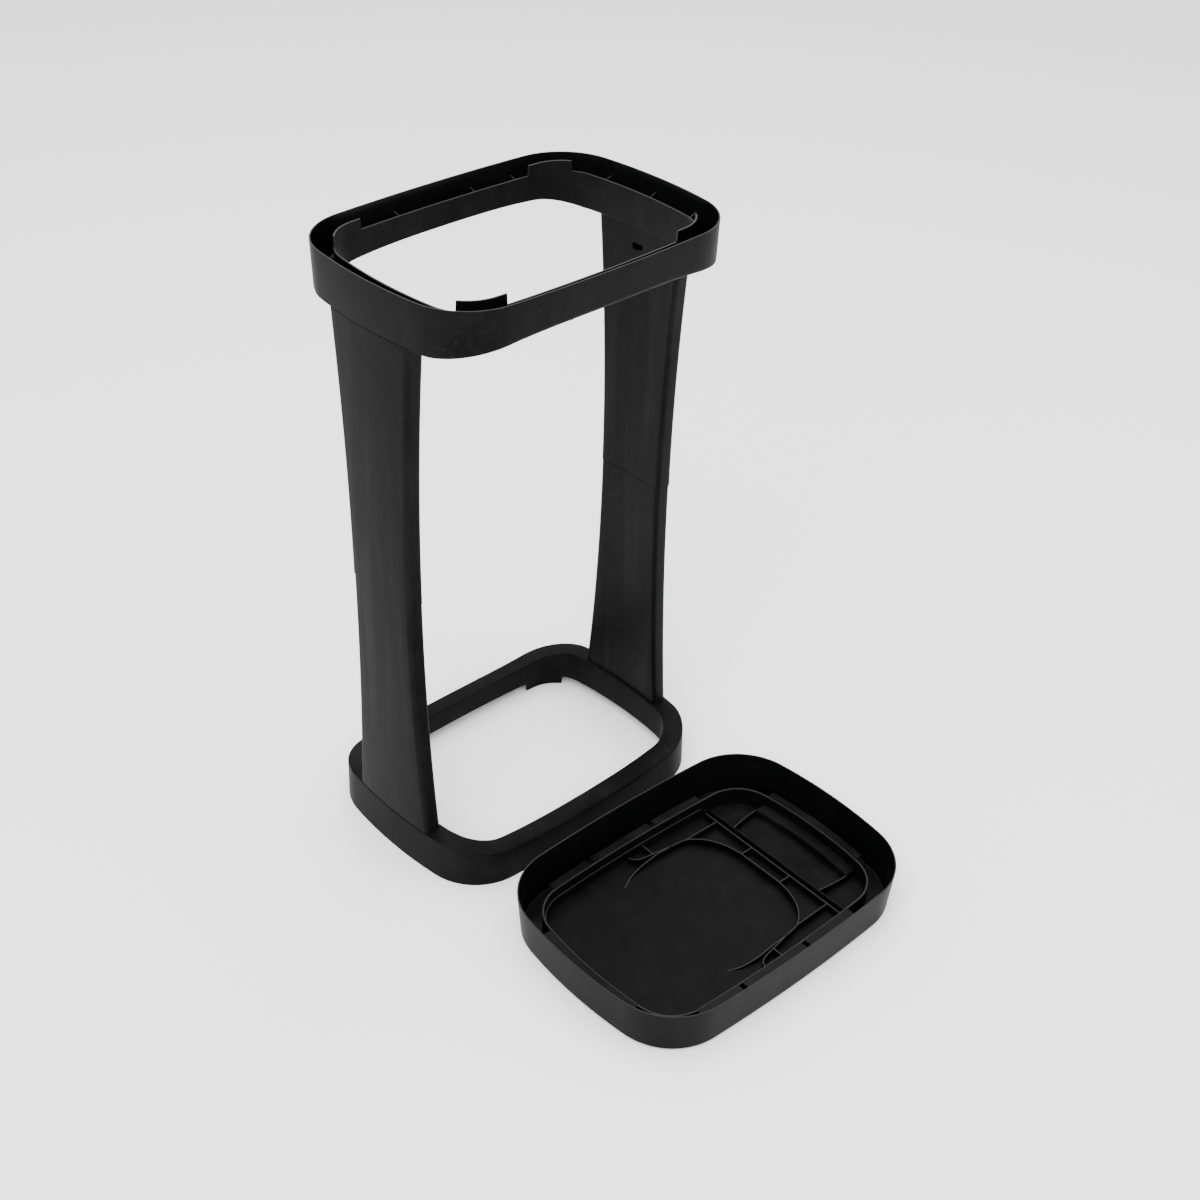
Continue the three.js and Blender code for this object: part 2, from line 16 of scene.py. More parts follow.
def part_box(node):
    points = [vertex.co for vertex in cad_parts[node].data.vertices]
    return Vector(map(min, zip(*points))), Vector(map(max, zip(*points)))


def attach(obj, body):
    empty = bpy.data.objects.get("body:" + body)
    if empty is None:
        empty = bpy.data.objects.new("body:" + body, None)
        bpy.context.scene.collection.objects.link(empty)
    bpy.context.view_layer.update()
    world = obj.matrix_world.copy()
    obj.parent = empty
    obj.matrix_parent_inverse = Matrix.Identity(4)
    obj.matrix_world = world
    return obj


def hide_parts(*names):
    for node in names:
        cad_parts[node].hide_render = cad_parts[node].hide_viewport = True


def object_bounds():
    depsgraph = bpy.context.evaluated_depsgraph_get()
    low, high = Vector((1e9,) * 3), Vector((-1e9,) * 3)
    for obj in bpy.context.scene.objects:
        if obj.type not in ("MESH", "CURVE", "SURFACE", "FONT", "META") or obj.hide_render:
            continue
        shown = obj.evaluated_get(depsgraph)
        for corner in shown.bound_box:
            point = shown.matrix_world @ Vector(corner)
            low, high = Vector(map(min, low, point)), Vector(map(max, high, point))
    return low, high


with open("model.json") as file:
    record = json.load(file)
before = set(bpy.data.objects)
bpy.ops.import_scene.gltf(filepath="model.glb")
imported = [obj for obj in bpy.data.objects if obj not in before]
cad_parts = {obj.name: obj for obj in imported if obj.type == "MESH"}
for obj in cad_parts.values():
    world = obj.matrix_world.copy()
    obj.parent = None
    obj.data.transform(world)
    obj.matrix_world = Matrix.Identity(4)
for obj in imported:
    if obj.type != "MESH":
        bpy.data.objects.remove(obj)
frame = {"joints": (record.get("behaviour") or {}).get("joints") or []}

CAD_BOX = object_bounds()
MM = 0.001
TINY = 0.01 * MM
MERGE_DISTANCE = 1e-7
BISECTIONS = 40
LOG = logging.getLogger("sack_stand")

Loop = list[Vector]
Corner = tuple[float, float]


# ---- finishes ----


class Skin(Enum):
    """Which of a moulding's surfaces a face belongs to; the value is its material slot."""

    GRAINED = 0
    POLISHED = 1
    # EDGE: rims and rib tops, in a lighter finish that paints a highlight along them.
    EDGE = 2


@dataclass(frozen=True)
class Value:
    """A number socket that Python arithmetic builds Math nodes on."""

    graph: "Graph"
    socket: bpy.types.NodeSocket

    def _math(self, operation: str, first: "Value | float", second: "Value | float") -> "Value":
        """One Math node on two values."""
        return self.graph.value("ShaderNodeMath", {"operation": operation}, {0: first, 1: second})

    def __add__(self, other: "Value | float") -> "Value":
        """self + other."""
        return self._math("ADD", self, other)

    __radd__ = __add__

    def __mul__(self, other: "Value | float") -> "Value":
        """self * other."""
        return self._math("MULTIPLY", self, other)

    __rmul__ = __mul__

    def __sub__(self, other: "Value | float") -> "Value":
        """self - other."""
        return self._math("SUBTRACT", self, other)

    def __rsub__(self, other: float) -> "Value":
        """other - self."""
        return self._math("SUBTRACT", other, self)

    def above(self, edge: float, softness: float) -> "Value":
        """0 below edge, rising to 1 over softness.

        Args:
            edge: Where the rise starts.
            softness: How far it takes to reach 1.

        Returns:
            The mask.
        """
        limits = {"From Min": edge, "From Max": edge + softness}
        return self.graph.value("ShaderNodeMapRange", {"interpolation_type": "SMOOTHSTEP"},
                                {"Value": self, **limits}, "Result")


class Graph:
    """A material's node tree, with one way to add a node."""

    def __init__(self, material: bpy.types.Material) -> None:
        """Empties the material's tree.

        Args:
            material: The material whose nodes are built.
        """
        material.use_nodes = True
        self.tree = material.node_tree
        self.tree.nodes.clear()

    def node(self, kind: str, settings: dict | None = None,
             inputs: dict | None = None) -> bpy.types.ShaderNode:
        """Adds a node, sets it, then fills its sockets with values or links.

        Args:
            kind: The node's type name.
            settings: Its own properties.
            inputs: Socket names or numbers, each with a value, a Value or a socket.

        Returns:
            The node.
        """
        made = self.tree.nodes.new(kind)
        for key, setting in (settings or {}).items():
            setattr(made, key, setting)
        for key, given in (inputs or {}).items():
            source = given.socket if isinstance(given, Value) else given
            if isinstance(source, bpy.types.NodeSocket):
                self.tree.links.new(source, made.inputs[key])
            else:
                made.inputs[key].default_value = source
        return made

    def value(self, kind: str, settings: dict, inputs: dict, output: str | int = 0) -> Value:
        """A node's output as a Value."""
        return Value(self, self.node(kind, settings, inputs).outputs[output])

    def place(self, stretch: Sequence[float], turn: Sequence[float] = (0, 0, 0)) -> bpy.types.NodeSocket:
        """The piece's own coordinates, stretched and turned.

        Args:
            stretch: Scale along X, Y and Z.
            turn: Turn about X, Y and Z in radians.

        Returns:
            The vector socket.
        """
        own = self.node("ShaderNodeTexCoord").outputs["Object"]
        mapping = {"Vector": own, "Scale": tuple(stretch), "Rotation": tuple(turn)}
        return self.node("ShaderNodeMapping", None, mapping).outputs["Vector"]

    def noise(self, scale: float, stretch: Sequence[float] = (1, 1, 1),
              turn: Sequence[float] = (0, 0, 0), detail: float = 3.0, rough: float = 0.5) -> Value:
        """A noise pattern from 0 to 1.

        Args:
            scale: Features per metre.
            stretch: Extra scale along each axis.
            turn: Turn about each axis in radians.
            detail: Octaves.
            rough: How strong the fine octaves are.

        Returns:
            The pattern.
        """
        inputs = {"Vector": self.place(stretch, turn), "Scale": scale, "Detail": detail,
                  "Roughness": rough}
        return self.value("ShaderNodeTexNoise", {}, inputs, "Fac")


@dataclass(frozen=True)
class Plastic:
    """Black moulded plastic: grain, cloudy sheen, flow streaks, scuffs, dust and pale specks."""

    name: str
    tone: tuple[float, float, float] = (0.0013, 0.0013, 0.0014)
    worn: tuple[float, float, float] = (0.045, 0.045, 0.046)
    roughness: float = 0.5
    specular: float = 0.045
    grain_depth: float = 0.02 * MM
    grain_scale: float = 2200.0
    wave_depth: float = 0.25 * MM
    scuff_depth: float = 0.02 * MM
    cloud: float = 0.35
    streak: float = 0.25
    scuff: float = 0.5
    speck: float = 0.6
    dust: float = 0.25

    def make(self) -> bpy.types.Material:
        """Builds the material.

        Returns:
            The material.
        """
        material = bpy.data.materials.new(self.name)
        graph = Graph(material)
        cloud = graph.noise(9.0, detail=5.0, rough=0.6).above(0.38, 0.3)
        patch = graph.noise(34.0, detail=4.0, rough=0.65).above(0.42, 0.26)
        streak = graph.noise(55.0, stretch=(1, 1, 0.07), detail=2.0).above(0.45, 0.3)
        scuffs = self._scuffs(graph)
        specks = self._specks(graph)
        dust = self._dust(graph, patch)
        marks = scuffs * self.scuff + specks * self.speck
        wear = cloud * (0.10 * self.cloud) + patch * (0.08 * self.cloud) + streak * (0.06 * self.streak)
        tinted = self._mix(graph, wear + dust * (0.10 * self.dust) + marks * 0.3)
        rough = self.roughness + (cloud - 0.5) * (0.10 * self.cloud) + patch * (0.05 * self.cloud)
        worn = rough + dust * (0.3 * self.dust) + marks * 0.18 - streak * (0.05 * self.streak)
        shader = graph.node("ShaderNodeBsdfPrincipled", None, {
            "Base Color": tinted, "Roughness": worn, "Normal": self._relief(graph, scuffs),
            "Metallic": 0.0, "Specular IOR Level": self.specular, "IOR": 1.5,
        })
        graph.node("ShaderNodeOutputMaterial", None, {"Surface": shader.outputs["BSDF"]})
        return material

    def _mix(self, graph: Graph, amount: Value) -> bpy.types.NodeSocket:
        """The base tone, lightened towards worn grey.

        Args:
            graph: The material's nodes.
            amount: How far it is lightened, from 0 to 1.

        Returns:
            The colour socket.
        """
        inputs = {0: amount, 6: (*self.tone, 1.0), 7: (*self.worn, 1.0)}
        return graph.node("ShaderNodeMix", {"data_type": "RGBA"}, inputs).outputs[2]

    def _scuffs(self, graph: Graph) -> Value:
        """Short rubbed lines in three directions, gathered in patches.

        Args:
            graph: The material's nodes.

        Returns:
            The mask.
        """
        where = graph.noise(13.0, detail=2.0).above(0.54, 0.12)
        turns = [(0.3, 0.5, 0.2), (1.1, 0.2, 0.9), (0.2, 1.3, 2.1)]
        lines = [graph.noise(420.0, (1, 0.035, 1), turn, detail=1.0).above(0.70, 0.05) for turn in turns]
        return (lines[0] + lines[1] + lines[2]) * where

    def _specks(self, graph: Graph) -> Value:
        """Small pale nicks, here and there.

        Args:
            graph: The material's nodes.

        Returns:
            The mask.
        """
        cell = graph.node("ShaderNodeTexVoronoi", {"feature": "F1"},
                          {"Vector": graph.place((1, 1, 1)), "Scale": 62.0})
        near = 1.0 - Value(graph, cell.outputs["Distance"]).above(0.035, 0.05)
        chosen = graph.value("ShaderNodeSeparateColor", {}, {0: cell.outputs["Color"]}, 0)
        return near * chosen.above(0.82, 0.02)

    def _dust(self, graph: Graph, patch: Value) -> Value:
        """Fine dust, on faces that look up.

        Args:
            graph: The material's nodes.
            patch: Where the dust gathers.

        Returns:
            The mask.
        """
        own = graph.node("ShaderNodeTexCoord").outputs["Normal"]
        up = graph.value("ShaderNodeSeparateXYZ", {}, {0: own}, 2).above(0.5, 0.5)
        fine = graph.noise(900.0, detail=2.0).above(0.52, 0.14)
        return up * (patch * 0.5 + fine * 0.5)

    def _relief(self, graph: Graph, scuffs: Value) -> bpy.types.NodeSocket:
        """Moulded grain with a faint waviness under it.

        Args:
            graph: The material's nodes.
            scuffs: The mask of the rubbed lines, which are sunk a little.

        Returns:
            The normal socket.
        """
        grain = graph.noise(self.grain_scale, detail=2.0, rough=0.6)
        wave = graph.noise(26.0, detail=2.0)
        height = grain * self.grain_depth + wave * self.wave_depth - scuffs * self.scuff_depth
        bump = graph.node("ShaderNodeBump", None, {"Height": height, "Distance": 1.0, "Strength": 1.0})
        return bump.outputs["Normal"]


@dataclass(frozen=True)
class Finishes:
    """The stand's finishes."""

    ring: Plastic = Plastic("ring_grained", roughness=0.5, scuff=0.7, speck=1.0)
    leg: Plastic = Plastic("leg_grained", roughness=0.48, streak=1.0, speck=0.5)
    lid: Plastic = Plastic("lid_grained", roughness=0.46, scuff=0.4)
    panel: Plastic = Plastic("panel_satin", tone=(0.0015, 0.0015, 0.0016), roughness=0.42, specular=0.05,
                             cloud=0.15, scuff=0.15, speck=0.3, dust=0.12)
    polished: Plastic = Plastic("polished_inside", tone=(0.0012, 0.0012, 0.0013), roughness=0.3,
                                specular=0.08, grain_depth=0.004 * MM, cloud=0.15, streak=0.0,
                                scuff=0.2, speck=0.5, dust=0.05)
    # Lighter tone for rims, the inner wall's top and rib tops: a painted highlight along the edges.
    edge: Plastic = Plastic("edge_painted_highlight", tone=(0.008, 0.008, 0.0084), roughness=0.45, specular=0.2,
                            scuff=0.3, speck=0.2)


# ---- mesh tools ----


def numbered(bm: BMesh) -> bmesh.types.BMLayerItem:
    """The layer that keeps a vertex's number in its loop."""
    return bm.verts.layers.int.get("number") or bm.verts.layers.int.new("number")


def first_loop(bm: BMesh, loop: Loop, filled: bool) -> list[bmesh.types.BMVert]:
    """Starts a shape with a circle whose vertices are moved onto a loop.

    Args:
        bm: The mesh.
        loop: Where the vertices go.
        filled: Whether the circle has a face.

    Returns:
        The circle's vertices.
    """
    count = len(loop)
    number = numbered(bm)
    made = bmesh.ops.create_circle(bm, cap_ends=filled, segments=count, radius=1.0)["verts"]
    for vert in made:
        turn = math.atan2(vert.co.y, vert.co.x) / math.tau
        vert[number] = round(turn * count) % count
        vert.co = loop[vert[number]]
    return made


def wrap(bm: BMesh, loops: Sequence[Loop], skins: Sequence[Skin]) -> None:
    """Makes a closed shell round an open middle: a loop extruded through others, back to its start.

    Args:
        bm: The mesh.
        loops: The loops, all with as many points.
        skins: The skin of the faces after each loop.
    """
    number = numbered(bm)
    start = first_loop(bm, loops[0], False)
    edges = list({edge for vert in start for edge in vert.link_edges})
    verts = start
    for row, loop in enumerate([*loops[1:], loops[0]]):
        made = bmesh.ops.extrude_edge_only(bm, edges=edges)["geom"]
        verts = [item for item in made if isinstance(item, bmesh.types.BMVert)]
        fresh = set(verts)
        edges = [item for item in made
                 if isinstance(item, bmesh.types.BMEdge) and set(item.verts) <= fresh]
        for vert in verts:
            vert.co = loop[vert[number]]
        for face in (item for item in made if isinstance(item, bmesh.types.BMFace)):
            face.material_index = skins[row].value
    bmesh.ops.remove_doubles(bm, verts=[*start, *verts], dist=MERGE_DISTANCE)


def dress(bm: BMesh, before: set[bmesh.types.BMFace], skin: Skin) -> None:
    """Gives a skin to every face that is new.

    Args:
        bm: The mesh.
        before: The faces that were there already.
        skin: The skin of the new ones.
    """
    for fresh in set(bm.faces) - before:
        fresh.material_index = skin.value


def loft(bm: BMesh, loops: Sequence[Loop], skin: Skin = Skin.GRAINED) -> None:
    """Makes a solid with a flat face at each end: a face extruded through the loops.

    The face that is extruded stays behind at each step, so a solid of three loops or more has faces
    across its inside.

    Args:
        bm: The mesh.
        loops: The loops, all with as many points.
        skin: The skin of its faces.
    """
    number = numbered(bm)
    before = set(bm.faces)
    start = first_loop(bm, loops[0], True)
    face = next(iter(start[0].link_faces))
    for loop in loops[1:]:
        made = bmesh.ops.extrude_face_region(bm, geom=[face])["geom"]
        for vert in (item for item in made if isinstance(item, bmesh.types.BMVert)):
            vert.co = loop[vert[number]]
        face = next(item for item in made if isinstance(item, bmesh.types.BMFace))
    dress(bm, before, skin)


def slab(bm: BMesh, shape: Loop, low: float, high: float, skin: Skin = Skin.GRAINED) -> None:
    """Makes a flat plate between two heights.

    Args:
        bm: The mesh.
        shape: The plate's outline.
        low: Its lower face's height.
        high: Its upper face's height.
        skin: The skin of its faces.
    """
    loft(bm, [[Vector((p.x, p.y, z)) for p in shape] for z in (low, high)], skin)


def box(bm: BMesh, low: Sequence[float], high: Sequence[float], skin: Skin) -> None:
    """Adds a box.

    Args:
        bm: The mesh.
        low: Its lowest corner.
        high: Its highest corner.
        skin: The skin of its faces.
    """
    middle = (Vector(low) + Vector(high)) / 2
    size = Vector(high) - Vector(low)
    before = set(bm.faces)
    bmesh.ops.create_cube(bm, size=1.0, matrix=Matrix.LocRotScale(middle, None, size))
    dress(bm, before, skin)


def wall(bm: BMesh, line: Loop, thick: float, foot: float, tops: Sequence[float],
         skin: Skin = Skin.POLISHED, top_skin: Skin = Skin.EDGE) -> None:
    """Adds a thin upright wall along a line.

    Args:
        bm: The mesh.
        line: The wall's middle line.
        thick: Its thickness.
        foot: Its lower edge's height.
        tops: Its upper edge's height at each point of the line.
        skin: The skin of its faces.
        top_skin: The skin of its upper edge.
    """
    loops = []
    for i, (point, top) in enumerate(zip(line, tops)):
        along = (line[min(i + 1, len(line) - 1)] - line[max(i - 1, 0)]).normalized()
        side = Vector((-along.y, along.x, 0.0)) * thick / 2
        loops.append([
            Vector((point.x + side.x, point.y + side.y, foot)),
            Vector((point.x - side.x, point.y - side.y, foot)),
            Vector((point.x - side.x, point.y - side.y, top)),
            Vector((point.x + side.x, point.y + side.y, top)),
        ])
    before = set(bm.faces)
    loft(bm, loops, skin)
    for fresh in set(bm.faces) - before:
        if all(vert.co.z > foot + TINY for vert in fresh.verts):
            fresh.material_index = top_skin.value


def arc(centre: Corner, radius: float, start: float, end: float, steps: int) -> list[Corner]:
    """Points of an arc, ends included.

    Args:
        centre: Its centre.
        radius: Its radius.
        start: The first point's angle in degrees.
        end: The last point's angle in degrees.
        steps: How many steps it takes.

    Returns:
        The points.
    """
    turns = [math.radians(start + (end - start) * i / steps) for i in range(steps + 1)]
    return [(centre[0] + radius * math.cos(t), centre[1] + radius * math.sin(t)) for t in turns]


def flat(points: Sequence[Corner]) -> Loop:
    """Points of the plane z = 0 as vectors."""
    return [Vector((x, y, 0.0)) for x, y in points]


def curve(points: Sequence[Corner], steps: int) -> Loop:
    """A smooth line through points.

    Args:
        points: The points, each x and y.
        steps: How many steps it takes between two points.

    Returns:
        The line's points.
    """
    ends = [points[0], *points, points[-1]]
    line = []
    for i in range(1, len(ends) - 2):
        a, b, c, d = (Vector((*ends[k], 0.0)) for k in range(i - 1, i + 3))
        for k in range(steps):
            t = k / steps
            line.append(0.5 * (2 * b + (c - a) * t + (2 * a - 5 * b + 4 * c - d) * t ** 2
                               + (3 * b - a - 3 * c + d) * t ** 3))
    line.append(Vector((*points[-1], 0.0)))
    return line


@dataclass
class Piece:
    """One finished piece: its mesh, its body, the CAD node it stands for, and its materials."""

    node: str
    body: str
    slot: str
    materials: Sequence[bpy.types.Material]
    edge: float = 0.35 * MM
    crisp: float = math.radians(32)

    def finish(self, bm: BMesh, place: Matrix) -> bpy.types.Object:
        """Puts the mesh in place, rounds its crisp edges, parents it to its body's empty and hides the
        CAD node it stands for.

        Args:
            bm: The mesh, which is freed.
            place: Where it goes.

        Returns:
            The object.
        """
        bmesh.ops.transform(bm, matrix=place, verts=bm.verts)
        bmesh.ops.recalc_face_normals(bm, faces=bm.faces)
        name = f"{self.node}_moulding"
        mesh = bpy.data.meshes.new(name)
        bm.to_mesh(mesh)
        bm.free()
        mesh.polygons.foreach_set("use_smooth", [True] * len(mesh.polygons))
        for material in self.materials:
            mesh.materials.append(material)
        piece = bpy.data.objects.new(name, mesh)
        bpy.context.scene.collection.objects.link(piece)
        bevel = piece.modifiers.new("soft_edges", "BEVEL")
        bevel.limit_method = "ANGLE"
        bevel.angle_limit = self.crisp
        bevel.width = self.edge
        bevel.segments = 2
        bevel.profile = 0.5
        bevel.harden_normals = True
        bevel.use_clamp_overlap = True
        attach(piece, self.body)
        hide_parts(self.node)
        LOG.info("%s: %d faces", name, len(mesh.polygons))
        return piece


# ---- the outline that the rings and the lid share ----


@dataclass
class Outline:
    """A rectangle with round corners and sides that bow out a little."""

    half_length: float
    half_width: float
    corner: float = 72 * MM
    long_crown: float = 3.7 * MM
    short_crown: float = 4.4 * MM
    short_steps: int = 10
    corner_steps: int = 20
    long_steps: int = 18
    long_radius: float = field(init=False)
    short_radius: float = field(init=False)
    corner_centre: Vector = field(init=False)
    short_end: float = field(init=False)
    long_start: float = field(init=False)

    def __post_init__(self) -> None:
        """Works out the arcs, which meet tangentially."""
        self.long_radius = self._crown_radius(self.half_length - self.corner, self.long_crown)
        self.short_radius = self._crown_radius(self.half_width - self.corner, self.short_crown)
        long_centre = Vector((0.0, self.half_width - self.long_radius))
        short_centre = Vector((self.half_length - self.short_radius, 0.0))
        between = short_centre - long_centre
        span = between.length
        to_long = self.long_radius - self.corner
        to_short = self.short_radius - self.corner
        along = (to_long ** 2 - to_short ** 2 + span ** 2) / (2 * span)
        aside = math.sqrt(to_long ** 2 - along ** 2)
        between.normalize()
        centre = long_centre + between * along + Vector((-between.y, between.x)) * aside
        if centre.y < 0 or centre.x < 0:
            centre = long_centre + between * along - Vector((-between.y, between.x)) * aside
        self.corner_centre = centre
        self.short_end = math.atan2(centre.y, centre.x - short_centre.x)
        self.long_start = math.atan2(centre.y - long_centre.y, centre.x)

    @staticmethod
    def _crown_radius(half_chord: float, crown: float) -> float:
        """Radius of an arc that rises by crown over a chord of twice half_chord."""
        return (half_chord ** 2 + crown ** 2) / (2 * crown)

    def point(self, turn: float, inset: float = 0.0, z: float = 0.0) -> Vector:
        """The outline's point whose normal has a direction.

        Args:
            turn: The normal's direction in radians from +X.
            inset: How far the point is drawn in along the normal.
            z: Its height.

        Returns:
            The point.
        """
        c, s = math.cos(turn), math.sin(turn)
        folded = math.atan2(abs(s), abs(c))
        if folded < self.short_end:
            centre, radius = Vector((self.half_length - self.short_radius, 0.0)), self.short_radius
        elif folded < self.long_start:
            centre, radius = self.corner_centre, self.corner
        else:
            centre, radius = Vector((0.0, self.half_width - self.long_radius)), self.long_radius
        x = centre.x + (radius - inset) * abs(c)
        y = centre.y + (radius - inset) * abs(s)
        return Vector((math.copysign(x, c), math.copysign(y, s), z))

    def turn_at(self, x: float, inset: float) -> float:
        """The first quarter's normal direction at a place along X.

        Args:
            x: The place.
            inset: How far the outline is drawn in.

        Returns:
            The direction in radians from +X.
        """
        low, high = 0.0, math.pi / 2
        for _ in range(BISECTIONS):
            middle = (low + high) / 2
            if self.point(middle, inset).x > x:
                low = middle
            else:
                high = middle
        return low

    def turns(self, extra: Sequence[float] = ()) -> list[float]:
        """Normal directions all the way round.

        Args:
            extra: More directions in the first quarter, repeated in the others.

        Returns:
            The directions in order.
        """
        spans = [(0.0, self.short_end, self.short_steps),
                 (self.short_end, self.long_start, self.corner_steps),
                 (self.long_start, math.pi / 2, self.long_steps)]
        quarter = [a + (b - a) * i / steps for a, b, steps in spans for i in range(steps)]
        quarter = sorted({*quarter, math.pi / 2, *extra})
        every = {round(t % math.tau, 9) for q in quarter for t in (q, math.pi - q, math.pi + q, -q)}
        return sorted(every)

    def loop(self, turns: Sequence[float], inset: float, z: float) -> Loop:
        """The outline at one inset and height."""
        return [self.point(turn, inset, z) for turn in turns]

    def half_width_at(self, x: float, inset: float) -> float:
        """Half the outline's width at a place along X."""
        return self.point(self.turn_at(abs(x), inset), inset).y

    def end_at(self, y: float, inset: float = 0.0) -> float:
        """X of the short side at a place along Y."""
        return self.half_length - self.short_radius + math.sqrt((self.short_radius - inset) ** 2 - y ** 2)


# ---- rings ----


@dataclass
class ChannelRing:
    """A ring with an open channel: rim at z = 0, closed face below, sweeping up to the long sides."""

    outline: Outline
    wall: float = 2.2 * MM
    end_height: float = 53.5 * MM
    side_height: float = 40 * MM
    sweep_power: float = 3.4
    flat_end: float = 8 * MM
    channel: float = 26 * MM
    draft: float = 1.2 * MM
    end_round: float = 1.2 * MM
    side_round: float = 6 * MM
    round_steps: int = 6
    heel: float = 2 * MM
    heel_steps: int = 4
    rim_taper: float = 0.75
    inner_drop: float = 12.5 * MM
    tab_drop: float = 0.8 * MM
    tab_from: float = 114 * MM
    tab_to: float = 160 * MM
    tab_step: float = 0.2 * MM
    gusset: float = 1.4 * MM
    gusset_drops: tuple[float, float] = (17 * MM, 26 * MM)
    long_gussets: tuple[float, ...] = (-108 * MM, -52 * MM, 52 * MM, 108 * MM)
    short_gussets: tuple[float, ...] = (-66 * MM, 0.0, 66 * MM)

    def sweep(self, x: float) -> float:
        """How far a place along X has swept from a long side, 0, to an end, 1."""
        return min(1.0, abs(x) / (self.outline.half_length - self.flat_end)) ** self.sweep_power

    def depth(self, x: float) -> float:
        """The ring's height at a place along X."""
        return self.side_height + (self.end_height - self.side_height) * self.sweep(x)

    def _inner_top(self, place: Vector) -> float:
        """The inner wall's top at a place on it, below the rim."""
        return self.tab_drop if self.tab_from <= abs(place.x) <= self.tab_to else self.inner_drop

    def _section(self, turn: float) -> list[tuple[float, float, Skin]]:
        """The section's corners at a normal direction, each with the skin of what follows.

        Args:
            turn: The normal's direction.

        Returns:
            Inset, height and skin of each corner.
        """
        place = self.outline.point(turn)
        floor = -self.depth(place.x)
        swept = self.sweep(place.x)
        soft = self.side_round + (self.end_round - self.side_round) * swept
        top = -self._inner_top(self.outline.point(turn, self.channel))
        back = self.channel - self.wall
        outside = [(self.draft + soft * (1 - math.cos(t)), floor + soft * (1 - math.sin(t)))
                   for t in self._quarter(self.round_steps)]
        heel = [(self.channel - self.heel * (1 - math.sin(t)), floor + self.heel * (1 - math.cos(t)))
                for t in self._quarter(self.heel_steps)]
        return [
            (0.0, 0.0, Skin.GRAINED),
            *[(inset, z, Skin.GRAINED) for inset, z in (*outside, *heel)],
            (self.channel, top, Skin.EDGE),
            (back, top, Skin.POLISHED),
            (back, floor + self.wall, Skin.POLISHED),
            (self.draft + soft + self.wall / 2, floor + self.wall, Skin.POLISHED),
            (self.draft + self.wall, floor + self.wall + soft / 2, Skin.POLISHED),
            (self.wall * self.rim_taper, 0.0, Skin.EDGE),
        ]

    @staticmethod
    def _quarter(steps: int) -> list[float]:
        """A quarter turn's angles in radians, ends included."""
        return [math.radians(90 * i / steps) for i in range(steps + 1)]

    def build(self, piece: Piece, place: Matrix) -> bpy.types.Object:
        """Builds a ring.

        Args:
            piece: What the ring is in the frame.
            place: Where it goes.

        Returns:
            The object.
        """
        bm = bmesh.new()
        edges = [self.outline.turn_at(x + side * self.tab_step, self.channel)
                 for x in (self.tab_from, self.tab_to) for side in (-1, 1)]
        turns = self.outline.turns(edges)
        sections = [self._section(turn) for turn in turns]
        loops = [[self.outline.point(turn, section[k][0], section[k][1])
                  for turn, section in zip(turns, sections)] for k in range(len(sections[0]))]
        wrap(bm, loops, [corner[2] for corner in sections[0]])
        self._gussets(bm)
        return piece.finish(bm, place)

    def _gussets(self, bm: BMesh) -> None:
        """Adds the small webs across the channel, lower at the inner wall.

        Args:
            bm: The mesh.
        """
        outer, inner = self.draft + self.wall / 2, self.channel - self.wall / 2
        for x in self.long_gussets:
            for side in (1, -1):
                ends = [side * self.outline.half_width_at(x, inset) for inset in (outer, inner)]
                self._web(bm, flat([(x, y) for y in ends]), self.depth(x))
        for y in self.short_gussets:
            for side in (1, -1):
                ends = [side * self.outline.end_at(y, inset) for inset in (outer, inner)]
                self._web(bm, flat([(x, y) for x in ends]), self.end_height)

    def _web(self, bm: BMesh, line: Loop, depth: float) -> None:
        """Adds one web from the outer wall to the inner one."""
        wall(bm, line, self.gusset, -depth + self.wall / 2, [-drop for drop in self.gusset_drops])


# ---- legs ----


class Half(Enum):
    """Which half of a leg; the value is the word in its node's name."""

    LOWER = "lower"
    UPPER = "upper"


